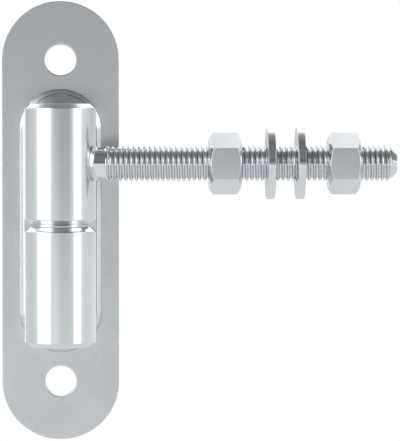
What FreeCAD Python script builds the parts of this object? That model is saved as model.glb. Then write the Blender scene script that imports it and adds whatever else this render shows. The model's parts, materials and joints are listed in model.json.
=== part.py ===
"""Gate hinge: a wall plate with two barrels and an adjustable threaded rod.

Millimetres, +Z up. The origin is the centre of the plate's back face, which
lies against the wall at y = 0. The hinge stands out from it towards -Y, its
axis is vertical, and the rod points along +X when the gate is closed.
"""

import FreeCAD, Part
import math
import os

V = FreeCAD.Vector

# Wall plate, a flat bar with fully rounded ends
plate_width = 40.0
plate_height = 150.0
plate_thickness = 5.0
plate_edge_break = 0.2
hole_diameter = 10.5
hole_spacing = 110.0

# Backing block between the plate and the barrels, bevelled round its front
block_width = 24.4
block_height = 86.4
block_thickness = 12.0
block_bevel = 5.0
block_weld_leg = 1.8

# Barrels, turned from round bar
barrel_diameter = 24.0
upper_barrel_length = 40.0
lower_barrel_length = 40.0
barrel_chamfer = 1.5
barrel_root_gap = 0.5
barrel_weld_inset = 3.0
barrel_weld_root = 4.0
barrel_weld_toe = 2.0
barrel_weld_angle = 48.0
barrel_weld_crown = 0.9

# Hinge pin, pressed into the lower barrel and running in the upper one
pin_diameter = 14.0
pin_reach_up = 30.0
pin_reach_down = 28.0
pin_tip_chamfer = 1.0
press_clearance = 0.01
running_clearance = 0.05
bore_end_space = 2.0

# Thrust washer between the barrels
thrust_thickness = 1.0
thrust_outer_diameter = 20.0
thrust_bore_clearance = 0.25
thrust_float = 0.05

# Rod, with a plain rolled shank at the barrel and a thread to its end
rod_height = 20.0
rod_reach = 112.5
thread_diameter = 11.9
shank_diameter = 10.86
shank_reach = 15.1
thread_run_in = 0.6
rod_end_chamfer = 2.7
rod_seat_depth = 3.5
rod_seat_clearance = 0.05
rod_weld_leg = 1.2

# Nuts, one flat towards the viewer
nut_sides = 6
nut_across_flats = 18.0
nut_thickness = 10.8
nut_face_ratio = 0.90
nut_chamfer_angle = 30.0
nut_thread_clearance = 0.10

# Plain washers
washer_outer_diameter = 24.0
washer_bore_diameter = 13.0
washer_thickness = 2.5

# Where the nuts and washers stand on the rod, each counted from the one before
inner_nut_at = 49.6
inner_washer_gap = 8.6
clamp_gap = 7.4
outer_nut_gap = 8.0

# Places that follow from the sizes
plate_front = -plate_thickness
block_front = plate_front - block_thickness
barrel_radius = barrel_diameter / 2
axis_y = block_front - barrel_root_gap - barrel_radius
upper_bottom = 0.0
upper_top = upper_bottom + upper_barrel_length
lower_top = upper_bottom - thrust_thickness - 2 * thrust_float
lower_bottom = lower_top - lower_barrel_length
pin_radius = pin_diameter / 2
pin_top = upper_bottom + pin_reach_up
pin_foot = lower_top - pin_reach_down
rod_start = barrel_radius - rod_seat_depth
inner_washer_at = inner_nut_at + nut_thickness + inner_washer_gap
outer_washer_at = inner_washer_at + washer_thickness + clamp_gap
outer_nut_at = outer_washer_at + washer_thickness + outer_nut_gap
tiny = 0.001


def turned_upright(profile):
    """Revolve (radius, z) points about the hinge axis."""
    points = [V(radius, axis_y, z) for radius, z in profile]
    section = Part.Face(Part.makePolygon(points + [points[0]]))
    return section.revolve(V(0, axis_y, 0), V(0, 0, 1), 360)


def turned_on_rod(profile):
    """Revolve (x, radius) points about the rod's axis."""
    points = [V(x, axis_y, rod_height + radius) for x, radius in profile]
    section = Part.Face(Part.makePolygon(points + [points[0]]))
    return section.revolve(V(0, axis_y, rod_height), V(1, 0, 0), 360)


def rod_cylinder(radius, start, length):
    """Cylinder on the rod's axis."""
    return Part.makeCylinder(radius, length, V(start, axis_y, rod_height), V(1, 0, 0))


def stadium_prism(width, height, back, thickness):
    """Upright bar with fully rounded ends, its back face at y = back."""
    radius = width / 2
    straight = height / 2 - radius
    outline = [
        Part.makeLine(V(radius, back, -straight), V(radius, back, straight)),
        Part.Arc(V(radius, back, straight), V(0, back, height / 2), V(-radius, back, straight)).toShape(),
        Part.makeLine(V(-radius, back, straight), V(-radius, back, -straight)),
        Part.Arc(V(-radius, back, -straight), V(0, back, -height / 2), V(radius, back, -straight)).toShape(),
    ]
    return Part.Face(Part.Wire(outline)).extrude(V(0, -thickness, 0))


def edges_in_plane(solid, y):
    """Edges of the solid that lie in the plane at this y."""
    return [
        edge for edge in solid.Edges
        if abs(edge.BoundBox.YMin - y) < tiny and abs(edge.BoundBox.YMax - y) < tiny
    ]


def make_plate():
    """Flat bar with its front edge broken and two plain bolt holes."""
    bar = stadium_prism(plate_width, plate_height, 0, plate_thickness)
    plate = bar.makeChamfer(plate_edge_break, edges_in_plane(bar, plate_front))
    for side in (-1, 1):
        start = V(0, 0, side * hole_spacing / 2)
        plate = plate.cut(Part.makeCylinder(hole_diameter / 2, plate_thickness, start, V(0, -1, 0)))
    return plate


def make_block():
    """Backing block whose front edge is bevelled all round."""
    block = stadium_prism(block_width, block_height, plate_front, block_thickness)
    return block.makeChamfer(block_bevel, edges_in_plane(block, block_front))


def make_block_weld():
    """Mitre bead that follows the foot of the block."""
    radius = block_width / 2
    straight = block_height / 2 - radius
    root = V(radius, plate_front, 0)
    plate_toe = V(radius + block_weld_leg, plate_front, 0)
    block_toe = V(radius, plate_front - block_weld_leg, 0)
    section = Part.Face(Part.makePolygon([root, plate_toe, block_toe, root]))
    bead = None
    for turn in (0, 180):
        side = section.copy()
        side.translate(V(0, 0, -straight))
        run = side.extrude(V(0, 0, 2 * straight))
        end = side.copy()
        end.translate(V(0, 0, 2 * straight))
        cap = end.revolve(V(0, plate_front, straight), V(0, -1, 0), 180)
        half = run.fuse(cap)
        half.rotate(V(0, 0, 0), V(0, 1, 0), turn)
        bead = half if bead is None else bead.fuse(half)
    return bead.removeSplitter()


def barrel_blank(bottom, top):
    """Round bar with both ends chamfered."""
    face_radius = barrel_radius - barrel_chamfer
    return turned_upright([
        (0, bottom),
        (face_radius, bottom),
        (barrel_radius, bottom + barrel_chamfer),
        (barrel_radius, top - barrel_chamfer),
        (face_radius, top),
        (0, top),
    ])


def upright_cylinder(radius, bottom, top):
    """Cylinder on the hinge axis."""
    return Part.makeCylinder(radius, top - bottom, V(0, axis_y, bottom))


def make_lower_barrel():
    """Fixed barrel with the blind bore that holds the pin."""
    bore = upright_cylinder(pin_radius + press_clearance, pin_foot, lower_top)
    return barrel_blank(lower_bottom, lower_top).cut(bore)


def make_upper_barrel():
    """Turning barrel with its blind pin bore and the seat for the rod's shank."""
    bore = upright_cylinder(pin_radius + running_clearance, upper_bottom, pin_top + bore_end_space)
    seat = rod_cylinder(shank_diameter / 2 + rod_seat_clearance, rod_start, rod_seat_depth)
    return barrel_blank(upper_bottom, upper_top).cut(bore).cut(seat)


def make_pin():
    """Pin with a chamfered tip."""
    tip_radius = pin_radius - pin_tip_chamfer
    return turned_upright([
        (0, pin_foot),
        (pin_radius, pin_foot),
        (pin_radius, pin_top - pin_tip_chamfer),
        (tip_radius, pin_top),
        (0, pin_top),
    ])


def make_thrust_washer():
    """Flat ring that the upper barrel turns on."""
    inner = pin_radius + thrust_bore_clearance
    outer = thrust_outer_diameter / 2
    bottom = lower_top + thrust_float
    top = bottom + thrust_thickness
    return turned_upright([(inner, bottom), (outer, bottom), (outer, top), (inner, top)])


def make_barrel_weld(side):
    """Bead that fills the groove between the lower barrel and the block."""
    block_flat = block_width / 2 - block_bevel
    angle = math.radians(barrel_weld_angle)
    block_toe = V(block_flat + barrel_weld_toe, block_front + barrel_weld_toe, 0)
    barrel_toe = V(barrel_radius * math.sin(angle), axis_y + barrel_radius * math.cos(angle), 0)
    crown = (block_toe + barrel_toe) * 0.5 + V(barrel_weld_crown, 0, 0)
    in_block = V(barrel_weld_root, block_front + block_bevel, 0)
    in_barrel = V(barrel_weld_root, axis_y, 0)
    section = Part.Face(Part.Wire([
        Part.makeLine(in_block, block_toe),
        Part.Arc(block_toe, crown, barrel_toe).toShape(),
        Part.makeLine(barrel_toe, in_barrel),
        Part.makeLine(in_barrel, in_block),
    ]))
    section.translate(V(0, 0, lower_bottom + barrel_weld_inset))
    bead = section.extrude(V(0, 0, lower_barrel_length - 2 * barrel_weld_inset))
    bead = bead.cut(make_block()).cut(barrel_blank(lower_bottom, lower_top))
    if side < 0:
        bead = bead.mirror(V(0, 0, 0), V(1, 0, 0))
    return bead


def make_rod():
    """Rod whose thread, at its crest diameter, starts beyond a plain shank."""
    shank = shank_diameter / 2
    crest = thread_diameter / 2
    return turned_on_rod([
        (rod_start, 0),
        (rod_start, shank),
        (shank_reach - thread_run_in, shank),
        (shank_reach, crest),
        (rod_reach - rod_end_chamfer, crest),
        (rod_reach, crest - rod_end_chamfer),
        (rod_reach, 0),
    ])


def make_rod_weld():
    """Ring of weld metal that follows the saddle where the shank meets the barrel."""
    barrel = barrel_blank(upper_bottom, upper_top)
    shank = rod_cylinder(shank_diameter / 2, 0, shank_reach)
    joined = barrel.fuse(shank)
    saddle = [
        edge for edge in joined.Edges
        if edge.BoundBox.XMax < barrel_radius + tiny and edge.BoundBox.ZMin > rod_height - shank_diameter
        and edge.BoundBox.ZMax < rod_height + shank_diameter and edge.BoundBox.XMin > 0
    ]
    return joined.makeChamfer(rod_weld_leg, saddle).cut(barrel).cut(shank)


def make_nut(start):
    """Hexagon nut, corners up and down, its corners chamfered at both ends."""
    end = start + nut_thickness
    corner = nut_across_flats / 2 / math.cos(math.pi / nut_sides)
    angles = [math.pi / 2 + 2 * math.pi * side / nut_sides for side in range(nut_sides + 1)]
    outline = [
        V(start, axis_y + corner * math.cos(angle), rod_height + corner * math.sin(angle))
        for angle in angles
    ]
    hexagon = Part.Face(Part.makePolygon(outline)).extrude(V(nut_thickness, 0, 0))
    face = nut_face_ratio * nut_across_flats / 2
    depth = (corner - face) * math.tan(math.radians(nut_chamfer_angle))
    envelope = turned_on_rod([
        (start, 0),
        (start, face),
        (start + depth, corner),
        (end - depth, corner),
        (end, face),
        (end, 0),
    ])
    hole = rod_cylinder(thread_diameter / 2 + nut_thread_clearance, start, nut_thickness)
    return hexagon.common(envelope).cut(hole)


def make_washer(start):
    """Plain stamped washer."""
    disc = rod_cylinder(washer_outer_diameter / 2, start, washer_thickness)
    return disc.cut(rod_cylinder(washer_bore_diameter / 2, start, washer_thickness))


pieces = {
    "mounting_plate": make_plate(),
    "spacer_block": make_block(),
    "block_weld": make_block_weld(),
    "lower_barrel": make_lower_barrel(),
    "barrel_weld_left": make_barrel_weld(-1),
    "barrel_weld_right": make_barrel_weld(1),
    "hinge_pin": make_pin(),
    "thrust_washer": make_thrust_washer(),
    "upper_barrel": make_upper_barrel(),
    "threaded_rod": make_rod(),
    "rod_weld": make_rod_weld(),
    "inner_nut": make_nut(inner_nut_at),
    "inner_washer": make_washer(inner_washer_at),
    "outer_washer": make_washer(outer_washer_at),
    "outer_nut": make_nut(outer_nut_at),
}

os.makedirs("parts", exist_ok=True)
for name, shape in pieces.items():
    solids = shape.Solids
    if len(solids) != 1 or not solids[0].isValid():
        raise ValueError(name + " is not one valid solid")
    solids[0].exportStep("parts/" + name + ".step")
    print(name, round(solids[0].Volume, 1), "mm3")
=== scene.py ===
"""Gate hinge: its dressed pieces, and the studio they are shown in.

Metres, +Z up along the hinge's axis, +X along the rod, and +Y into the wall.
Every piece stands where the packed frame has it, and takes its sizes from there.
"""

import json
import math

import bmesh
import bpy
from bpy.props import FloatProperty, FloatVectorProperty, IntProperty, PointerProperty
from mathutils import Matrix, Vector


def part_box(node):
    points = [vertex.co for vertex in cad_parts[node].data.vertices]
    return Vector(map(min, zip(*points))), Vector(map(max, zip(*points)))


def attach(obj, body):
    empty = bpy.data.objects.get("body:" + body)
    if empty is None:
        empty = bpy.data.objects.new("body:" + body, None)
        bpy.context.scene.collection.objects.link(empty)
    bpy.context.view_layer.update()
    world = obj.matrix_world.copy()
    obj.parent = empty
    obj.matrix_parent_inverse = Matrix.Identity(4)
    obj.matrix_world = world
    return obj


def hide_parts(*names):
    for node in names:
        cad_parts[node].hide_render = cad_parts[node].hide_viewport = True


bl_info = {
    "name": "Gate Hinge",
    "version": (1, 0, 0),
    "blender": (4, 5, 0),
    "location": "3D View > Sidebar > Gate Hinge",
    "description": "Builds the dressed pieces of the gate hinge and its studio",
    "category": "Add Mesh",
}

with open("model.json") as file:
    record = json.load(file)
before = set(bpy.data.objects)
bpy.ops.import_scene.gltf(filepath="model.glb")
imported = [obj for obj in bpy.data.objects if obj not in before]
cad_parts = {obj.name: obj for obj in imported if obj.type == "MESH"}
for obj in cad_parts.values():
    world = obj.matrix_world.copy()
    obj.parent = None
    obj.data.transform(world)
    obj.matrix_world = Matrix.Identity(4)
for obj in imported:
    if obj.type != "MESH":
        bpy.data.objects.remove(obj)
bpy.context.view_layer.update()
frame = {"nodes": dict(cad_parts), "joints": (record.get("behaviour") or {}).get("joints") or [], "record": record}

MM = 0.001
MICRON = MM * MM
SAME_POINT = 0.002 * MM

# Mesh steps round a circle
BARREL_STEPS = 256
ROUND_STEPS = 192
FLOOR_STEPS = 128
HOLE_STEPS = 96

# Radius of the inner ring of a flat round end, as a share of the end's own
INNER_RING = 0.8

# What the frame says of the pieces
record = frame["record"]
mounts = {mount["name"]: mount for mount in record["mounts"]}
body_of = {node: body for body, nodes in record["behaviour"]["bodies"].items() for node in nodes}
box_of = {node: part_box(node) for node in frame["nodes"]}
swing = next(joint for joint in frame["joints"] if joint["name"] == "swing")
axis_y = swing["pos_m"][1]
rod_z = mounts["rod_end"]["pos_m"][2]
wall_front = box_of["mounting_plate"][0].y
block_front = box_of["spacer_block"][0].y
hole_radius = mounts["post_bolts"]["dims"]["hole_r_mm"] * MM
hole_spacing = mounts["post_bolts"]["dims"]["spacing_y_mm"] * MM

# Places of the pieces, each made along its own Z: up the hinge's axis, along the rod, or out of the wall
ON_HINGE_AXIS = Matrix.Translation((0, axis_y, 0))
ALONG_ROD = Matrix(((0, 0, 1, 0), (1, 0, 0, 0), (0, 1, 0, 0), (0, 0, 0, 1)))
ON_ROD_AXIS = Matrix.Translation((0, axis_y, rod_z)) @ ALONG_ROD
OUT_OF_WALL = Matrix(((1, 0, 0, 0), (0, 0, -1, 0), (0, 1, 0, 0), (0, 0, 0, 1)))


def linear(hex_colour):
    """Linear RGB of an sRGB colour written in hex."""
    channels = [int(hex_colour[place:place + 2], 16) / 255 for place in (1, 3, 5)]
    return [value / 12.92 if value <= 0.04045 else ((value + 0.055) / 1.055) ** 2.4 for value in channels]


def length(name, description, millimetres):
    """Property for a size, given in millimetres and held in metres."""
    return FloatProperty(
        name=name, description=description, default=millimetres * MM, min=0,
        unit="LENGTH", subtype="DISTANCE", precision=5,
    )


def colour(name, description, hex_colour):
    """Property for a colour, given in sRGB hex and held in linear values."""
    return FloatVectorProperty(
        name=name, description=description, default=linear(hex_colour), min=0, max=1, size=3, subtype="COLOR"
    )


class HingeEdges(bpy.types.PropertyGroup):
    """Roundings and chamfers of the edges, and the bores."""

    plate_edge: length("Plate edge", "Rounding of the plate's rims", 0.15)
    hole_edge: length("Hole edge", "Rounding of the bolt holes' rims", 0.25)
    block_bevel: length("Block bevel", "Width of the bevel round the block's front", 5.0)
    block_edge: length("Block edge", "Rounding where the block's bevel begins and ends", 0.6)
    barrel_chamfer: length("Barrel chamfer", "Turned chamfer at both ends of each barrel", 1.5)
    barrel_edge: length("Barrel edge", "Rounding at the chamfers' edges", 0.3)
    bore_radius: length("Bore radius", "Radius of the barrels' bore for the pin", 7.04)
    bore_depth: length("Bore depth", "Depth of the upper barrel's bore", 32.0)
    bore_mouth: length("Bore mouth", "Chamfer at the mouth of the barrels' bores", 0.6)
    pin_tip: length("Pin tip", "Chamfer at the pin's tip", 1.0)
    washer_edge: length("Washer edge", "Rolled edge of a stamped washer's upper face", 0.2)
    washer_burr: length("Washer burr side", "Rounding of a stamped washer's other face", 0.08)
    washer_bore: length("Washer bore radius", "Radius of a washer's hole", 6.5)
    thrust_edge: length("Thrust washer edge", "Rounding of the thrust washer's rims", 0.06)
    thrust_bore: length("Thrust washer bore radius", "Radius of the thrust washer's hole", 7.24)


class HingeWelds(bpy.types.PropertyGroup):
    """Weld beads."""

    block_bead: length("Block bead", "Leg of the bead round the block's foot", 1.8)
    block_bead_crown: length("Block bead crown", "How far the middle of that bead bulges", 0.12)
    rod_bead: length("Rod bead", "Radius of the fillet where the rod meets the barrel", 0.7)
    toe: length("Barrel bead toe", "How far the barrel's bead climbs the block's bevel", 2.0)
    crown: length("Barrel bead crown", "How far the barrel's bead bulges", 0.75)
    ripple_pitch: length("Ripple pitch", "Distance between the ripples of a bead", 1.6)
    ripple_height: length("Ripple height", "Height of the ripples of a bead", 0.12)
    bead_end: length("Bead end", "Length over which a bead tapers off", 2.6)


class HingeThread(bpy.types.PropertyGroup):
    """The rod's rolled thread and the nuts on it."""

    pitch: length("Pitch", "Distance between neighbouring threads", 1.75)
    nominal_radius: length("Nominal radius", "Half of the thread's nominal size", 6.0)
    crest_radius: length("Crest radius", "Radius over the thread's crests", 5.95)
    flank_foot: length("Flank foot", "Radius at which the flanks begin, over the rounded root", 5.05)
    shank_radius: length("Shank radius", "Radius of the plain shank", 5.43)
    thread_start: length("Thread start", "Where the thread begins, from the hinge's axis", 14.9)
    run_in: length("Run-in", "Length over which the thread rises out of the shank", 0.9)
    crest_round: length("Crest rounding", "Rounding at both sides of a crest", 0.09)
    end_chamfer: length("End chamfer", "Chamfer at the rod's free end", 2.5)
    nut_flats: length("Across flats", "Width of a nut across its flats", 18.0)
    nut_corner: length("Nut corner", "Rounding of a nut's upright corners", 0.12)
    nut_face: length("Nut face radius", "Radius of a nut's round end face", 8.1)
    nut_edge: length("Nut edge", "Rounding between a nut's chamfer and its flats", 0.15)
    nut_bore: length("Nut bore radius", "Radius of a nut's bore", 6.05)
    nut_countersink: length("Nut countersink", "Countersink at the ends of a nut's bore", 0.55)
    steps: IntProperty(
        name="Steps a turn", description="Mesh steps round one turn of the thread", default=96, min=24
    )


class HingeFinish(bpy.types.PropertyGroup):
    """Colours of the plated and the plain steel."""

    zinc: colour("Zinc", "Bright zinc plate of most pieces, where it is cleanest", "#dfe4e7")
    zinc_on_block: colour("Zinc on the block", "The block's plate, a little duller", "#cdd2d5")
    zinc_on_rod: colour("Zinc on the rod", "The rod's plate, the palest", "#e3e8eb")
    # The flank colour is painted shade: darker than the plate, it stands in for the shade in the thread's grooves
    flank: colour("Thread flank", "Plate on the thread's flanks, thin and a little dull", "#c4c8cb")
    pin: colour("Pin", "Ground steel of the pin", "#cfd0d3")
    # The thrust washer's grey is partly its plain steel and partly painted shade of the gap between the barrels
    thrust: colour("Thrust washer", "Plain rolled steel of the thrust washer", "#c6cacd")


class HingeStudio(bpy.types.PropertyGroup):
    """Camera, lamp and floor."""

    camera_place: FloatVectorProperty(
        name="Camera", description="Where the camera stands", default=(0.0040, -1.0394, 0.0390),
        subtype="TRANSLATION",
    )
    camera_aim: FloatVectorProperty(
        name="Aim", description="Point that the camera looks at", default=(0.04668, -0.0295, 0.00093),
        subtype="TRANSLATION",
    )
    lens: FloatProperty(
        name="Lens", description="Focal length for a 36 mm film", default=246.75, unit="CAMERA"
    )
    camera_reach: length("Camera reach", "Farthest distance that the camera shows", 50000.0)
    floor_drop: length("Floor drop", "Height of the hinge's origin over the floor", 300.0)
    floor_radius: length("Floor radius", "Radius of the round floor", 1700.0)
    floor: colour("Floor", "Pale floor", "#e8e8e8")
    lamp_place: FloatVectorProperty(
        name="Lamp", description="Where the soft lamp hangs", default=(-0.35, -0.45, 0.9),
        subtype="TRANSLATION",
    )
    lamp_size: length("Lamp size", "Width of the soft lamp", 800.0)
    lamp_watts: FloatProperty(
        name="Lamp strength", description="Power of the soft lamp", default=3.0, min=0, unit="POWER"
    )


GROUPS = {
    "hinge_edges": HingeEdges,
    "hinge_welds": HingeWelds,
    "hinge_thread": HingeThread,
    "hinge_finish": HingeFinish,
    "hinge_studio": HingeStudio,
}


# Helpers for meshes

def half_width(node):
    """Half of a piece's width along X, which is the radius of a turned piece or a rounded bar."""
    low, high = box_of[node]
    return (high.x - low.x) / 2


def rounded(corners, closed=False, steps=4):
    """Outline through (along, across, radius) corners, with an arc of that radius in each."""
    points = []
    for index, (along, across, radius) in enumerate(corners):
        here = Vector((along, across))
        at_end = not closed and index in (0, len(corners) - 1)
        if at_end or not radius:
            points.append(here)
            continue
        back = (Vector(corners[index - 1][:2]) - here).normalized()
        on = (Vector(corners[(index + 1) % len(corners)][:2]) - here).normalized()
        half = back.angle(on) / 2
        centre = here + (back + on).normalized() * radius / math.sin(half)
        first = here + back * radius / math.tan(half) - centre
        last = here + on * radius / math.tan(half) - centre
        for step in range(steps + 1):
            points.append(centre + first.slerp(last, step / steps).normalized() * radius)
    return points


def swept(profile, segments, straight=0.0):
    """Rings of points: a (radius, height) profile carried round a circle, or round a bar's two round ends."""
    half = segments // 2
    rings = []
    for radius, height in profile:
        ring = []
        for end in (1, -1):
            for step in range(half + 1 if straight else half):
                angle = math.pi * step / half + (0 if end > 0 else math.pi)
                along = radius * math.sin(angle) + end * straight
                ring.append(Vector((radius * math.cos(angle), along, height)))
        rings.append(ring)
    return rings


def skin(rings, closed=False, capped=True):
    """Mesh over rings of points that follow one another, each ring closed round its own end."""
    mesh = bmesh.new()
    loops = [[mesh.verts.new(point) for point in ring] for ring in rings]
    if closed:
        loops.append(loops[0])
    for before, after in zip(loops, loops[1:]):
        for step in range(len(before)):
            following = (step + 1) % len(before)
            mesh.faces.new((before[step], before[following], after[following], after[step]))
    if capped and not closed:
        mesh.faces.new(loops[0])
        mesh.faces.new(loops[-1])
    return mesh


def add_piece(node, mesh, place, material):
    """Adds the finished piece that stands for a node of the frame and rides on its body."""
    mesh.transform(place)
    bmesh.ops.remove_doubles(mesh, verts=mesh.verts, dist=SAME_POINT)
    bmesh.ops.recalc_face_normals(mesh, faces=mesh.faces)
    data = bpy.data.meshes.new(node + "_dressed")
    mesh.to_mesh(data)
    mesh.free()
    data.shade_smooth()
    data.materials.append(material)
    piece = bpy.data.objects.new(data.name, data)
    bpy.context.scene.collection.objects.link(piece)
    # At full weight the larger faces set the normals, so that flats stay flat beside their roundings
    even = piece.modifiers.new("even_normals", "WEIGHTED_NORMAL")
    even.weight = 100
    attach(piece, body_of[node])
    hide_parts(node)


# Materials

def add_node(tree, kind, settings=None, links=None):
    """Adds a node, sets its named settings or inputs, and links outputs of other nodes to its inputs."""
    node = tree.nodes.new(kind)
    for name, value in (settings or {}).items():
        if hasattr(node, str(name)):
            setattr(node, name, value)
        else:
            node.inputs[name].default_value = value
    for name, output in (links or {}).items():
        tree.links.new(output, node.inputs[name])
    return node


def multiplied(tree, first, second):
    """Product of two shades or shares."""
    settings = {"data_type": "RGBA", "blend_type": "MULTIPLY", 0: 1.0}
    return add_node(tree, "ShaderNodeMix", settings, {6: first, 7: second}).outputs[2]


def grey_stops(tree, share, stops):
    """Brightness that follows (share, brightness) stops."""
    ramp = add_node(tree, "ShaderNodeValToRGB", links={"Fac": share})
    elements = ramp.color_ramp.elements
    while len(elements) < len(stops):
        elements.new(0.5)
    for element, (position, brightness) in zip(elements, stops):
        element.position = position
        element.color = (brightness, brightness, brightness, 1)
    return ramp.outputs["Color"]


def waves_a_metre(size_mm):
    """Scale of a pattern whose features are this many millimetres across."""
    return 1 / (size_mm * MM)


def bright_metal(name, clean, clouding, roughness, cloud_mm, grain_mm, grain_um, rings_mm=None, rings_um=0.0):
    """Metal clouded a little in colour and gloss, over a fine grain and, if turned, fine tool rings.

    Clouding is the share of its colour that the clouds take off.
    """
    # The noise's values over which the colour and the roughness change, and by how much the roughness does
    clouded, clear = 0.35, 0.65
    roughest_at, smoothest_at = 0.3, 0.7
    rougher, smoother = 1.08, 0.94

    material = bpy.data.materials.new(name)
    material.use_nodes = True
    tree = material.node_tree
    shader = tree.nodes["Principled BSDF"]
    shader.inputs["Metallic"].default_value = 1.0
    place = add_node(tree, "ShaderNodeTexCoord").outputs["Object"]
    cloud = add_node(
        tree, "ShaderNodeTexNoise",
        {"Scale": waves_a_metre(cloud_mm), "Detail": 3.0, "Roughness": 0.55}, {"Vector": place},
    ).outputs["Fac"]
    shade = add_node(tree, "ShaderNodeValToRGB", links={"Fac": cloud})
    shade.color_ramp.elements[0].position = clouded
    shade.color_ramp.elements[0].color = (*(channel * (1 - clouding) for channel in clean), 1)
    shade.color_ramp.elements[1].position = clear
    shade.color_ramp.elements[1].color = (*clean, 1)
    gloss = add_node(
        tree, "ShaderNodeMapRange",
        {"From Min": roughest_at, "From Max": smoothest_at,
         "To Min": roughness * rougher, "To Max": roughness * smoother},
        {"Value": cloud},
    )
    grain = add_node(
        tree, "ShaderNodeTexNoise", {"Scale": waves_a_metre(grain_mm), "Detail": 2.0}, {"Vector": place}
    ).outputs["Fac"]
    relief = add_node(
        tree, "ShaderNodeBump", {"Strength": 1.0, "Distance": grain_um * MICRON}, {"Height": grain}
    ).outputs["Normal"]
    if rings_mm:
        # At a scale of 1 the wave texture's bands are a tenth of pi apart
        band = math.pi / 10
        rings = add_node(
            tree, "ShaderNodeTexWave",
            {"wave_type": "BANDS", "bands_direction": "Z", "wave_profile": "SIN",
             "Scale": waves_a_metre(rings_mm) * band, "Distortion": 0.6, "Detail": 2.0, "Detail Scale": 2.0},
            {"Vector": place},
        ).outputs["Fac"]
        relief = add_node(
            tree, "ShaderNodeBump",
            {"Strength": 1.0, "Distance": rings_um * MICRON}, {"Height": rings, "Normal": relief},
        ).outputs["Normal"]
    tree.links.new(shade.outputs["Color"], shader.inputs["Base Color"])
    tree.links.new(gloss.outputs["Result"], shader.inputs["Roughness"])
    tree.links.new(relief, shader.inputs["Normal"])
    return material


def zinc_on_flat_bar(finish):
    """Bright zinc over hot-rolled flat bar: a soft mirror, with a faint waviness left by the rolling."""
    return bright_metal(
        "zinc_plated_flat_bar", finish.zinc, clouding=0.035, roughness=0.27,
        cloud_mm=14.0, grain_mm=1.2, grain_um=0.5,
    )


def zinc_on_milled_block(finish):
    """Bright zinc over a block milled from bar: a clearer but darker mirror than the rolled plate's."""
    return bright_metal(
        "zinc_plated_milled_block", finish.zinc_on_block, clouding=0.03, roughness=0.15,
        cloud_mm=12.0, grain_mm=1.0, grain_um=0.6,
    )


def zinc_on_turned_bar(finish):
    """Bright zinc over lathe-turned bar: a sharp mirror, with fine rings round the axis."""
    return bright_metal(
        "zinc_plated_turned_bar", finish.zinc, clouding=0.03, roughness=0.13,
        cloud_mm=11.0, grain_mm=0.9, grain_um=0.35, rings_mm=0.45, rings_um=0.5,
    )


def zinc_on_rolled_rod(finish, thread):
    """Bright zinc over a cold-rolled rod: the sharpest mirror, with painted shade that darkens the thread's
    flanks.
    """
    material = bright_metal(
        "zinc_plated_rolled_rod", finish.zinc_on_rod, clouding=0.03, roughness=0.12,
        cloud_mm=6.0, grain_mm=0.6, grain_um=0.4,
    )
    tree = material.node_tree
    shader = tree.nodes["Principled BSDF"]
    bright = shader.inputs["Base Color"].links[0].from_socket
    place = add_node(tree, "ShaderNodeTexCoord").outputs["Object"]

    # Painted shade: a darker colour over the flanks' middle, by the distance from the rod's axis, and the clean
    # colour at root and crest
    across = add_node(
        tree, "ShaderNodeVectorMath",
        {"operation": "MULTIPLY_ADD", 1: (0, 1, 1), 2: (0, -axis_y, -rod_z)}, {0: place},
    ).outputs[0]
    from_axis = add_node(tree, "ShaderNodeVectorMath", {"operation": "LENGTH"}, {0: across}).outputs["Value"]
    up_flank = add_node(
        tree, "ShaderNodeMapRange",
        {"From Min": thread.flank_foot, "From Max": thread.crest_radius}, {"Value": from_axis},
    ).outputs["Result"]
    on_flank = grey_stops(tree, up_flank, ((0.12, 0), (0.24, 1), (0.76, 1), (0.88, 0)))

    # The plain shank has no flanks
    along = add_node(tree, "ShaderNodeSeparateXYZ", links={0: place}).outputs["X"]
    begins = thread.thread_start + thread.run_in / 2
    on_thread = add_node(
        tree, "ShaderNodeMath", {"operation": "GREATER_THAN", 1: begins}, {0: along}
    ).outputs[0]
    # How much painted shade each point of the thread takes
    painted_flank_shade = multiplied(tree, on_thread, on_flank)
    shade = add_node(
        tree, "ShaderNodeMix", {"data_type": "RGBA", 7: (*finish.flank, 1)}, {0: painted_flank_shade, 6: bright}
    ).outputs[2]
    tree.links.new(shade, shader.inputs["Base Color"])
    return material


def zinc_on_formed_nut(finish):
    """Bright zinc over a cold-formed nut: smooth flats that mirror softly."""
    return bright_metal(
        "zinc_plated_formed_nut", finish.zinc, clouding=0.03, roughness=0.17,
        cloud_mm=7.0, grain_mm=0.8, grain_um=0.8,
    )


def zinc_on_stamped_washer(finish):
    """Bright zinc over stamped sheet: smooth faces and a rolled rim."""
    return bright_metal(
        "zinc_plated_stamped_washer", finish.zinc, clouding=0.03, roughness=0.15,
        cloud_mm=6.0, grain_mm=0.7, grain_um=0.7,
    )


def zinc_on_weld(finish):
    """Bright zinc over weld metal: softly pebbled, so that its mirror breaks up."""
    return bright_metal(
        "zinc_plated_weld", finish.zinc, clouding=0.07, roughness=0.20,
        cloud_mm=3.0, grain_mm=0.8, grain_um=3.0,
    )


def ground_pin_steel(finish):
    """Ground and oiled pin steel: darker than zinc, with fine grinding rings."""
    return bright_metal(
        "ground_pin_steel", finish.pin, clouding=0.03, roughness=0.18,
        cloud_mm=8.0, grain_mm=0.5, grain_um=0.3, rings_mm=0.35, rings_um=0.5,
    )


def sheet_steel_and_gap_shade(finish):
    """Plain rolled sheet of the thrust washer: unplated, and greyer than zinc, its grey partly painted shade of
    the narrow gap between the barrels.
    """
    return bright_metal(
        "sheet_steel_and_gap_shade", finish.thrust, clouding=0.04, roughness=0.16,
        cloud_mm=5.0, grain_mm=0.5, grain_um=0.8,
    )


finishes = {}


def finish_of(context, maker):
    """The material that a maker function gives, made once."""
    if maker not in finishes:
        finishes[maker] = maker(context.scene.hinge_finish)
    return finishes[maker]


# Pieces

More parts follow.
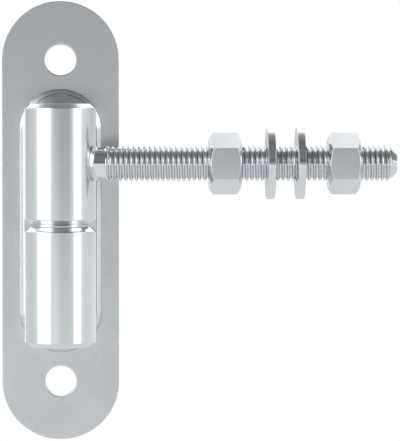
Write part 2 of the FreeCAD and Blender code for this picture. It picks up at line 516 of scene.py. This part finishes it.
def make_plate_mesh(edges):
    """Flat bar with rounded rims and ends, and two round holes."""
    low, high = box_of["mounting_plate"]
    radius = half_width("mounting_plate")
    straight = (high.z - low.z) / 2 - radius
    thickness = -wall_front
    rim = edges.plate_edge
    hole_rim = edges.hole_edge
    outer = rounded([
        (radius - 2 * rim, 0, 0), (radius, 0, rim),
        (radius, thickness, rim), (radius - 2 * rim, thickness, 0),
    ])
    inner = rounded([
        (hole_radius + 2 * hole_rim, 0, 0), (hole_radius, 0, hole_rim),
        (hole_radius, thickness, hole_rim), (hole_radius + 2 * hole_rim, thickness, 0),
    ])
    mesh = skin(swept(outer, ROUND_STEPS, straight), capped=False)
    for side in (-1, 1):
        rings = swept(inner, HOLE_STEPS)
        shift = Vector((0, side * hole_spacing / 2, 0))
        wall = skin([[point + shift for point in ring] for ring in rings], capped=False)
        kept = bpy.data.meshes.new("hole_wall")
        wall.to_mesh(kept)
        wall.free()
        mesh.from_mesh(kept)
        bpy.data.meshes.remove(kept)
    bmesh.ops.remove_doubles(mesh, verts=mesh.verts, dist=SAME_POINT)
    for height in (0, thickness):
        rims = [
            edge for edge in mesh.edges
            if edge.is_boundary and all(abs(corner.co.z - height) < SAME_POINT for corner in edge.verts)
        ]
        bmesh.ops.triangle_fill(mesh, edges=rims, use_beauty=True)
    return mesh


class HINGE_OT_plate(bpy.types.Operator):
    """Flat bar that is fixed to the post"""

    bl_idname = "hinge.plate"
    bl_label = "Mounting plate"

    def execute(self, context):
        mesh = make_plate_mesh(context.scene.hinge_edges)
        add_piece("mounting_plate", mesh, OUT_OF_WALL, finish_of(context, zinc_on_flat_bar))
        return {"FINISHED"}


class HINGE_OT_block(bpy.types.Operator):
    """Backing block with a bevelled front, and the bead round its foot"""

    bl_idname = "hinge.block"
    bl_label = "Spacer block and its bead"

    def execute(self, context):
        edges = context.scene.hinge_edges
        low, high = box_of["spacer_block"]
        radius = half_width("spacer_block")
        straight = (high.z - low.z) / 2 - radius
        foot = -wall_front
        front = -block_front
        bevel = edges.block_bevel
        inside_bevel = 1.3 * bevel
        block = rounded([
            (radius, foot, 0),
            (radius, front - bevel, edges.block_edge),
            (radius - bevel, front, edges.block_edge),
            (radius - inside_bevel, front, 0),
        ])
        mesh = skin(swept(block, ROUND_STEPS, straight))
        add_piece("spacer_block", mesh, OUT_OF_WALL, finish_of(context, zinc_on_milled_block))

        # The bead's front is a straight slope between its legs, bulged most in its middle
        leg = context.scene.hinge_welds.block_bead
        crown = context.scene.hinge_welds.block_bead_crown
        steps_over = 8
        bead = [(radius, foot)]
        for step in range(steps_over + 1):
            share = step / steps_over
            bulge = 4 * share * (1 - share) * crown / math.sqrt(2)
            bead.append((radius + leg * (1 - share) + bulge, foot + leg * share + bulge))
        mesh = skin(swept(bead, ROUND_STEPS, straight), closed=True)
        add_piece("block_weld", mesh, OUT_OF_WALL, finish_of(context, zinc_on_weld))
        return {"FINISHED"}


class HINGE_OT_barrels(bpy.types.Operator):
    """Two turned barrels, bored for the pin"""

    bl_idname = "hinge.barrels"
    bl_label = "Barrels"

    def execute(self, context):
        edges = context.scene.hinge_edges
        pin_foot = box_of["hinge_pin"][0].z
        upper_low, upper_high = box_of["upper_barrel"]
        radius = half_width("upper_barrel")
        face = radius - edges.barrel_chamfer
        lower_low, lower_high = box_of["lower_barrel"]
        for node, closed_end, mouth, floor in (
            ("upper_barrel", upper_high.z, upper_low.z, upper_low.z + edges.bore_depth),
            ("lower_barrel", lower_low.z, lower_high.z, pin_foot),
        ):
            inwards = 1 if floor > mouth else -1
            chamfer = inwards * edges.barrel_chamfer
            throat = inwards * edges.bore_mouth
            bore = edges.bore_radius
            edge = edges.barrel_edge
            profile = rounded([
                (face * INNER_RING, closed_end, 0),
                (face, closed_end, edge),
                (radius, closed_end - chamfer, edge),
                (radius, mouth + chamfer, edge),
                (face, mouth, edge / 2),
                (bore + edges.bore_mouth, mouth, edge / 2),
                (bore, mouth + throat, edge / 2),
                (bore, floor, 0),
                (bore * INNER_RING, floor, 0),
            ])
            mesh = skin(swept(profile, BARREL_STEPS))
            add_piece(node, mesh, ON_HINGE_AXIS, finish_of(context, zinc_on_turned_bar))
        return {"FINISHED"}


class HINGE_OT_barrel_beads(bpy.types.Operator):
    """Rippled weld beads that fill the grooves between the lower barrel and the block"""

    bl_idname = "hinge.barrel_beads"
    bl_label = "Barrel beads"

    def execute(self, context):
        welds = context.scene.hinge_welds
        low, high = box_of["barrel_weld_right"]
        radius = half_width("lower_barrel")
        flat = box_of["spacer_block"][1].x - context.scene.hinge_edges.block_bevel
        block_toe = Vector((flat + welds.toe, block_front + welds.toe))
        rise = low.y - axis_y
        barrel_toe = Vector((math.sqrt(radius ** 2 - rise ** 2), low.y))
        root = Vector((low.x, (block_front + axis_y + radius) / 2))
        middle = (block_toe + barrel_toe) / 2
        chord = (block_toe - barrel_toe) / 2
        steps_up, steps_over = 170, 16

        # How far the bead still fills the groove at its ends, squared, and how many pitches a ripple bows
        least_fullness, bow = 0.02, 0.9
        for side, node in ((1, "barrel_weld_right"), (-1, "barrel_weld_left")):
            rings = []
            for step in range(steps_up + 1):
                height = low.z + (high.z - low.z) * step / steps_up
                from_end = min(height - low.z, high.z - height)
                taper = max(0, 1 - from_end / welds.bead_end)
                fullness = math.sqrt(max(least_fullness, 1 - taper ** 2))
                ring = [Vector((side * root.x, root.y, height))]
                for over in range(steps_over + 1):
                    across = 2 * over / steps_over - 1
                    phase = (height + bow * welds.ripple_pitch * across ** 2) / welds.ripple_pitch
                    ripple = welds.ripple_height * abs(math.sin(math.pi * phase)) * (1 - across ** 2)
                    out = welds.crown * (1 - across ** 2) + ripple
                    place = middle + chord * across + Vector((out, 0))
                    place = root + (place - root) * fullness
                    ring.append(Vector((side * place.x, place.y, height)))
                rings.append(ring)
            add_piece(node, skin(rings), Matrix.Identity(4), finish_of(context, zinc_on_weld))
        return {"FINISHED"}


class HINGE_OT_pin(bpy.types.Operator):
    """Hinge pin, pressed into the lower barrel"""

    bl_idname = "hinge.pin"
    bl_label = "Hinge pin"

    def execute(self, context):
        edges = context.scene.hinge_edges
        low, high = box_of["hinge_pin"]
        radius = half_width("hinge_pin")
        tip = edges.pin_tip
        profile = rounded([
            (radius * INNER_RING, low.z, 0),
            (radius, low.z, edges.barrel_edge),
            (radius, high.z - tip, edges.barrel_edge),
            (radius - tip, high.z, edges.barrel_edge),
            ((radius - tip) * INNER_RING, high.z, 0),
        ])
        mesh = skin(swept(profile, ROUND_STEPS))
        add_piece("hinge_pin", mesh, ON_HINGE_AXIS, finish_of(context, ground_pin_steel))
        return {"FINISHED"}


class HINGE_OT_washers(bpy.types.Operator):
    """Two plain washers on the rod, and the thrust washer between the barrels"""

    bl_idname = "hinge.washers"
    bl_label = "Washers"

    def execute(self, context):
        edges = context.scene.hinge_edges
        for node, rolled_side in (("inner_washer", 1), ("outer_washer", -1)):
            low, high = box_of[node]
            radius = (high.z - low.z) / 2
            low_edge, high_edge = edges.washer_burr, edges.washer_edge
            if rolled_side < 0:
                low_edge, high_edge = high_edge, low_edge
            profile = rounded([
                (edges.washer_bore, low.x, low_edge), (radius, low.x, low_edge),
                (radius, high.x, high_edge), (edges.washer_bore, high.x, high_edge),
            ], closed=True)
            mesh = skin(swept(profile, ROUND_STEPS), closed=True)
            add_piece(node, mesh, ON_ROD_AXIS, finish_of(context, zinc_on_stamped_washer))
        low, high = box_of["thrust_washer"]
        radius = half_width("thrust_washer")
        bore = edges.thrust_bore
        edge = edges.thrust_edge
        profile = rounded([
            (bore, low.z, edge), (radius, low.z, edge), (radius, high.z, edge), (bore, high.z, edge),
        ], closed=True)
        mesh = skin(swept(profile, ROUND_STEPS), closed=True)
        add_piece("thrust_washer", mesh, ON_HINGE_AXIS, finish_of(context, sheet_steel_and_gap_shade))
        return {"FINISHED"}


def one_pitch_of_thread(thread):
    """(along, radius) points of the thread from one crest's middle up to the next."""
    # The standard profile: a sharp one, cut off at its crest by an eighth of its height and round at its root
    pitch = thread.pitch
    flank = math.radians(30)
    sharp_height = pitch / 2 / math.tan(flank)
    sharp_crest = thread.nominal_radius + sharp_height / 8
    sharp_root = sharp_crest - sharp_height
    root_round = sharp_height / 6
    crest_half = (sharp_crest - thread.crest_radius) * math.tan(flank)
    return rounded([
        (0, thread.crest_radius, 0),
        (crest_half, thread.crest_radius, thread.crest_round),
        (pitch / 2, sharp_root, root_round),
        (pitch - crest_half, thread.crest_radius, thread.crest_round),
        (pitch, thread.crest_radius, 0),
    ])[:-1]


def make_rod_mesh(thread):
    """Plain shank that runs into a right-hand thread, wound as one sheet along its helix."""
    start = box_of["threaded_rod"][0].x
    end = box_of["threaded_rod"][1].x
    steps, pitch = thread.steps, thread.pitch
    profile = one_pitch_of_thread(thread)
    across = len(profile)

    # The sheet has turns to spare, which are squeezed flat at the rod's two ends
    spare_turns = 2
    rows = math.ceil((end - start) / pitch + spare_turns) * steps
    points = []
    for row in range(rows + 1):
        angle = 2 * math.pi * row / steps
        for along, radius in profile:
            place = min(max(start - pitch + pitch * row / steps + along, start), end)

            # The thread rises out of the shank with an S-shaped run-in
            rise = min(max((place - thread.thread_start) / thread.run_in, 0), 1)
            rise = rise * rise * (3 - 2 * rise)
            reach = thread.shank_radius + (radius - thread.shank_radius) * rise
            reach = min(reach, thread.crest_radius - thread.end_chamfer + end - place)
            points.append((reach * math.cos(angle), reach * math.sin(angle), place))
    faces = []
    for row in range(rows):
        for step in range(across):
            here = row * across + step
            beside = here + 1 if step < across - 1 else (row + steps) * across
            if beside + across < len(points):
                faces.append((here, beside, beside + across, here + across))
    data = bpy.data.meshes.new("thread_sheet")
    data.from_pydata(points, [], faces)
    mesh = bmesh.new()
    mesh.from_mesh(data)
    bpy.data.meshes.remove(data)
    bmesh.ops.remove_doubles(mesh, verts=mesh.verts, dist=SAME_POINT)
    loose = [corner for corner in mesh.verts if not corner.link_faces]
    bmesh.ops.delete(mesh, geom=loose, context="VERTS")
    bmesh.ops.holes_fill(mesh, edges=[edge for edge in mesh.edges if edge.is_boundary], sides=0)
    return mesh


class HINGE_OT_rod(bpy.types.Operator):
    """Threaded rod, with the weld fillet where it meets the upper barrel"""

    bl_idname = "hinge.rod"
    bl_label = "Threaded rod and its fillet"

    def execute(self, context):
        thread = context.scene.hinge_thread
        rolled = zinc_on_rolled_rod(context.scene.hinge_finish, thread)
        add_piece("threaded_rod", make_rod_mesh(thread), ON_ROD_AXIS, rolled)

        # The fillet is what a ball leaves as it rolls round in the corner between shank and barrel
        barrel = half_width("upper_barrel")
        shank = thread.shank_radius
        ball = context.scene.hinge_welds.rod_bead
        steps_over, steps_round = 8, 144

        # Its last ring lies inside both
        buried = 0.9 * shank
        buried_depth = 0.97 * math.sqrt(barrel ** 2 - shank ** 2)
        rings = [[] for _ in range(steps_over + 2)]
        for step in range(steps_round):
            angle = 2 * math.pi * step / steps_round
            sideways, upwards = math.cos(angle), math.sin(angle)
            centre = Vector(((shank + ball) * sideways, (shank + ball) * upwards))
            out = math.sqrt((barrel + ball) ** 2 - centre.x ** 2)
            ball_centre = Vector((centre.x, centre.y, out))
            to_shank = Vector((-sideways, -upwards, 0))
            to_barrel = Vector((-centre.x, 0, -out)).normalized()
            for over in range(steps_over + 1):
                rings[over].append(ball_centre + to_shank.slerp(to_barrel, over / steps_over) * ball)
            rings[-1].append(Vector((buried * sideways, buried * upwards, buried_depth)))

        # Dressed smooth, the fillet mirrors as the barrel does
        add_piece("rod_weld", skin(rings, closed=True), ON_ROD_AXIS, finish_of(context, zinc_on_turned_bar))
        return {"FINISHED"}


def nut_outline(thread):
    """(angle, radius) points round a hexagon with rounded corners, its corners up and down."""
    apothem = thread.nut_flats / 2
    turn = math.radians(60)
    corner_round = thread.nut_corner
    corner_centre = (apothem - corner_round) / math.cos(turn / 2)
    tangent = math.atan2(corner_round * math.sin(turn / 2), corner_centre + corner_round * math.cos(turn / 2))
    corner_steps, flat_steps = 4, 16
    points = []
    for corner in range(6):
        middle = math.radians(90) + corner * turn
        for step in range(corner_steps):
            away = tangent * (2 * step / corner_steps - 1)
            reach = corner_centre * math.cos(away)
            reach += math.sqrt(corner_round ** 2 - (corner_centre * math.sin(away)) ** 2)
            points.append((middle + away, reach))
        for step in range(flat_steps):
            away = tangent + (turn - 2 * tangent) * step / flat_steps
            points.append((middle + away, apothem / math.cos(turn / 2 - away)))
    return points


class HINGE_OT_nuts(bpy.types.Operator):
    """Two hexagon nuts, chamfered at both ends"""

    bl_idname = "hinge.nuts"
    bl_label = "Nuts"

    def execute(self, context):
        thread = context.scene.hinge_thread
        chamfer_angle = math.radians(30)
        slope = math.tan(chamfer_angle)
        edge, face = thread.nut_edge, thread.nut_face
        bore, sink = thread.nut_bore, thread.nut_countersink
        rings_an_end = 6
        for node in ("inner_nut", "outer_nut"):
            low, high = box_of[node][0].x, box_of[node][1].x
            rings = []
            for end, inwards in ((low, 1), (high, -1)):
                half = [[] for _ in range(rings_an_end)]
                for angle, reach in nut_outline(thread):
                    chamfer = (reach - face) * slope
                    section = (
                        (bore, sink), (bore + sink, 0), (face - edge, 0), (face + edge, edge * slope),
                        (reach - edge, chamfer - edge * slope), (reach, chamfer + edge / 2),
                    )
                    for ring, (radius, depth) in zip(half, section):
                        across, up = radius * math.cos(angle), radius * math.sin(angle)
                        ring.append(Vector((across, up, end + inwards * depth)))
                rings += half if inwards > 0 else reversed(half)
            add_piece(node, skin(rings, closed=True), ON_ROD_AXIS, finish_of(context, zinc_on_formed_nut))
        return {"FINISHED"}


# Studio

def make_floor(context, studio):
    """Pale round floor that shows nearly white and keeps the hinge's soft shadow."""
    # How much of the floor is plain white, to the camera and in the metal's mirror
    white_to_camera, white_in_mirror = 0.75, 0.27

    rings = swept([(studio.floor_radius, -studio.floor_drop)], FLOOR_STEPS)
    mesh = bmesh.new()
    mesh.faces.new([mesh.verts.new(point) for point in rings[0]])
    data = bpy.data.meshes.new("floor")
    mesh.to_mesh(data)
    mesh.free()
    material = bpy.data.materials.new("pale_floor")
    material.use_nodes = True
    tree = material.node_tree
    tree.nodes.clear()
    pale = add_node(tree, "ShaderNodeBsdfDiffuse", {"Color": (*studio.floor, 1)})
    white = add_node(tree, "ShaderNodeEmission", {"Strength": 1.0})
    path = add_node(tree, "ShaderNodeLightPath").outputs
    mirrored = add_node(
        tree, "ShaderNodeMath", {"operation": "MULTIPLY", 1: white_in_mirror}, {0: path["Is Glossy Ray"]}
    ).outputs[0]
    share = add_node(
        tree, "ShaderNodeMath",
        {"operation": "MULTIPLY_ADD", 1: white_to_camera}, {0: path["Is Camera Ray"], 2: mirrored},
    ).outputs[0]
    both = add_node(tree, "ShaderNodeMixShader", links={0: share, 1: pale.outputs[0], 2: white.outputs[0]})
    add_node(tree, "ShaderNodeOutputMaterial", links={"Surface": both.outputs[0]})
    data.materials.append(material)
    floor = bpy.data.objects.new("floor", data)
    context.scene.collection.objects.link(floor)


def grey_ramp(tree, value, stops, low=-180, high=180):
    """Brightness that follows (degrees, brightness) stops between two angles in degrees."""
    share = add_node(
        tree, "ShaderNodeMapRange",
        {"From Min": math.radians(low), "From Max": math.radians(high)}, {"Value": value},
    ).outputs["Result"]
    return grey_stops(tree, share, [
        ((degrees - low) / (high - low), brightness) for degrees, brightness in stops
    ])


def mix_greys(tree, share, first, second):
    """Blend from one brightness to another by a share between 0 and 1."""
    return add_node(tree, "ShaderNodeMix", {"data_type": "RGBA"}, {0: share, 6: first, 7: second}).outputs[2]


def angle_of(tree, across, along):
    """Angle, in radians, whose tangent is across / along."""
    return add_node(tree, "ShaderNodeMath", {"operation": "ARCTAN2"}, {0: across, 1: along}).outputs[0]


def make_studio_walls(context):
    """The studio round the hinge as its metal mirrors it; the camera sees plain white behind the hinge."""
    world = bpy.data.worlds.new("studio")
    context.scene.world = world
    world.use_nodes = True
    tree = world.node_tree
    tree.nodes.clear()
    way = add_node(tree, "ShaderNodeTexCoord").outputs["Generated"]
    right, back, up = add_node(tree, "ShaderNodeSeparateXYZ", links={0: way}).outputs
    front = add_node(tree, "ShaderNodeMath", {"operation": "MULTIPLY", 1: -1.0}, {0: back}).outputs[0]
    azimuth = angle_of(tree, right, front)
    climb = angle_of(tree, up, front)
    lean = angle_of(tree, right, up)
    elevation = add_node(tree, "ShaderNodeMath", {"operation": "ARCSINE"}, {0: up}).outputs[0]

    # Round the hinge, from behind it by its left side and its front to its right side, at five heights
    below = grey_ramp(tree, azimuth, (
        (-180, 0.61), (-171, 0.61), (-166, 1.50), (-157, 1.50), (-150, 0.75), (-133, 0.80), (-113, 0.75),
        (-97, 0.76), (-80, 0.89), (-74, 2.00), (-38, 2.00), (-30, 1.00), (-24, 0.78), (-16, 0.68),
        (28, 0.65), (36, 0.74), (43, 0.90), (48, 2.00), (60, 2.00), (70, 1.08), (79, 0.84), (97, 0.83),
        (113, 0.86), (133, 0.95), (160, 0.90), (180, 0.70),
    ))
    level = grey_ramp(tree, azimuth, (
        (-180, 0.61), (-171, 0.61), (-166, 1.50), (-157, 1.50), (-150, 0.72), (-133, 0.58), (-113, 0.70),
        (-97, 0.75), (-80, 0.87), (-74, 2.00), (-38, 2.00), (-30, 1.04), (-24, 0.80), (-16, 0.68),
        (28, 0.62), (36, 0.72), (43, 0.90), (48, 2.00), (60, 2.00), (70, 1.12), (79, 0.82), (97, 0.80),
        (113, 0.69), (125, 0.62), (137, 0.70), (160, 0.75), (180, 0.70),
    ))
    above = grey_ramp(tree, azimuth, (
        (-180, 1.10), (-166, 0.85), (-146, 0.85), (-138, 1.20), (-120, 1.40), (-112, 1.00), (-102, 0.95),
        (-90, 1.30), (-80, 2.60), (-38, 2.60), (-30, 1.00), (-24, 0.80), (-16, 0.68), (28, 0.60),
        (36, 0.72), (43, 0.90), (48, 2.60), (80, 2.60), (92, 1.80), (102, 0.75), (113, 0.60), (133, 0.66),
        (142, 0.75), (148, 0.85), (166, 0.90), (180, 1.10),
    ))
    high = grey_ramp(tree, azimuth, (
        (-180, 1.40), (-134, 1.40), (-127, 0.85), (-118, 0.62), (-108, 0.85), (-88, 0.96), (-80, 2.50),
        (-38, 2.50), (-16, 0.68), (36, 0.72), (48, 2.50), (80, 2.50), (88, 0.92), (100, 0.92), (112, 1.20),
        (124, 1.50), (150, 1.50), (180, 1.40),
    ))
    top = grey_ramp(tree, azimuth, (
        (-180, 1.40), (-134, 1.40), (-127, 0.85), (-118, 0.62), (-108, 0.85), (-100, 0.96), (-38, 0.96),
        (-16, 0.68), (36, 0.72), (48, 0.92), (100, 0.92), (112, 1.20), (124, 1.50), (150, 1.50),
        (180, 1.40),
    ))

    # Each height takes over from the one under it between two elevations
    walls = below
    for ring, low_edge, high_edge in ((level, -3.6, -0.3), (above, 2, 9), (high, 14, 25), (top, 30, 42)):
        rise = grey_ramp(tree, elevation, ((low_edge, 0), (high_edge, 1)), -90, 90)
        walls = mix_greys(tree, rise, walls, ring)

    # A dark screen behind on the right, which the cone at the rod's end mirrors
    along_screen = grey_ramp(tree, azimuth, ((92, 0), (99, 1), (138, 1), (148, 0)))
    up_screen = grey_ramp(tree, elevation, ((8, 0), (12, 1), (27, 1), (33, 0)), -90, 90)
    screen_grey = 0.28
    screen = add_node(tree, "ShaderNodeRGB")
    screen.outputs[0].default_value = (screen_grey, screen_grey, screen_grey, 1)
    walls = mix_greys(tree, multiplied(tree, along_screen, up_screen), walls, screen.outputs[0])

    # The floor round the hinge
    floor = grey_ramp(tree, elevation, ((-90, 0.58), (-60, 0.74), (-30, 0.84)), -90, 90)
    low = grey_ramp(tree, elevation, ((-40, 1), (-26, 0)), -90, 90)
    walls = mix_greys(tree, low, walls, floor)

    # Up through the front and over the roof: floor, camera side, dark roof
    over = grey_ramp(tree, climb, (
        (-90, 0.58), (-60, 0.80), (-16, 1.06), (-10, 1.06), (-6.3, 0.98), (-3.8, 0.71), (-1.7, 0.60),
        (1.5, 0.40), (5, 0.20), (9, 0.13), (18, 0.22), (46, 0.21), (70, 0.18), (84, 0.22), (90, 0.30),
        (96, 0.30), (112, 0.29),
    ))
    to_side = grey_ramp(tree, azimuth, (
        (-34, 1.38), (-21, 1.28), (-11, 1.16), (-3, 1.06), (3, 0.97), (10, 0.97), (18, 0.98), (28, 0.95),
        (36, 1.15),
    ))
    ahead = multiplied(tree, over, to_side)
    in_front = grey_ramp(tree, azimuth, ((-26, 0), (-18, 1), (30, 1), (37, 0)))
    walls = mix_greys(tree, in_front, walls, ahead)

    # The roof ends at a lean to each side, and past the zenith, where its corners are cut
    under_roof = grey_ramp(tree, lean, (
        (-46, 0), (-30, 0.74), (-22, 0.88), (-10, 1), (48, 1), (63, 0),
    ))
    corner_cut = 0.4
    to_corner = add_node(tree, "ShaderNodeMath", {"operation": "ABSOLUTE"}, {0: lean}).outputs[0]
    to_back = add_node(
        tree, "ShaderNodeMath", {"operation": "MULTIPLY_ADD", 1: corner_cut}, {0: to_corner, 2: climb}
    ).outputs[0]
    before_back = grey_ramp(tree, to_back, (
        (-180, 0), (0, 0), (4, 1), (101, 1), (111, 0.85), (122, 0.27), (130, 0),
    ))
    roof = multiplied(tree, under_roof, before_back)
    walls = mix_greys(tree, roof, walls, over)

    mirrored = add_node(tree, "ShaderNodeBackground", links={"Color": walls})
    white = add_node(tree, "ShaderNodeBackground", {"Color": (1, 1, 1, 1), "Strength": 1.0})
    seen = add_node(tree, "ShaderNodeLightPath").outputs["Is Camera Ray"]
    both = add_node(tree, "ShaderNodeMixShader", links={0: seen, 1: mirrored.outputs[0], 2: white.outputs[0]})
    add_node(tree, "ShaderNodeOutputWorld", links={"Surface": both.outputs[0]})


class HINGE_OT_studio(bpy.types.Operator):
    """Floor, lamp, studio walls and camera"""

    bl_idname = "hinge.studio"
    bl_label = "Studio"

    def execute(self, context):
        scene = context.scene
        studio = scene.hinge_studio
        make_floor(context, studio)
        make_studio_walls(context)
        lamp_data = bpy.data.lights.new("soft_lamp", "AREA")
        lamp_data.size = studio.lamp_size
        lamp_data.energy = studio.lamp_watts
        lamp = bpy.data.objects.new("soft_lamp", lamp_data)
        lamp.location = studio.lamp_place
        lamp.rotation_euler = (-lamp.location).to_track_quat("-Z", "Y").to_euler()
        lamp.visible_glossy = False
        scene.collection.objects.link(lamp)
        camera_data = bpy.data.cameras.new("camera")
        camera_data.lens = studio.lens
        camera_data.clip_end = studio.camera_reach
        camera = bpy.data.objects.new("camera", camera_data)
        camera.location = studio.camera_place
        gaze = Vector(studio.camera_aim) - Vector(studio.camera_place)
        camera.rotation_euler = gaze.to_track_quat("-Z", "Y").to_euler()
        scene.collection.objects.link(camera)
        scene.camera = camera
        scene.view_settings.view_transform = "Standard"
        return {"FINISHED"}


# Add-on

OPERATORS = (
    HINGE_OT_plate, HINGE_OT_block, HINGE_OT_barrels, HINGE_OT_barrel_beads, HINGE_OT_pin,
    HINGE_OT_washers, HINGE_OT_rod, HINGE_OT_nuts, HINGE_OT_studio,
)


class HINGE_PT_panel(bpy.types.Panel):
    """Sidebar panel that lists the hinge's sizes, finishes and pieces"""

    bl_idname = "HINGE_PT_panel"
    bl_label = "Gate Hinge"
    bl_space_type = "VIEW_3D"
    bl_region_type = "UI"
    bl_category = "Gate Hinge"

    def draw(self, context):
        for name, group in GROUPS.items():
            column = self.layout.column(align=True)
            column.label(text=group.__doc__)
            for field in group.__annotations__:
                column.prop(getattr(context.scene, name), field)
        for operator in OPERATORS:
            self.layout.operator(operator.bl_idname)


def register():
    for group in (*GROUPS.values(), *OPERATORS, HINGE_PT_panel):
        bpy.utils.register_class(group)
    for name, group in GROUPS.items():
        setattr(bpy.types.Scene, name, PointerProperty(type=group))


def unregister():
    for name in GROUPS:
        delattr(bpy.types.Scene, name)
    for group in (*GROUPS.values(), *OPERATORS, HINGE_PT_panel):
        bpy.utils.unregister_class(group)


def main():
    register()
    bpy.ops.hinge.plate()
    bpy.ops.hinge.block()
    bpy.ops.hinge.barrels()
    bpy.ops.hinge.barrel_beads()
    bpy.ops.hinge.pin()
    bpy.ops.hinge.washers()
    bpy.ops.hinge.rod()
    bpy.ops.hinge.nuts()
    bpy.ops.hinge.studio()


if __name__ == "__main__":
    main()
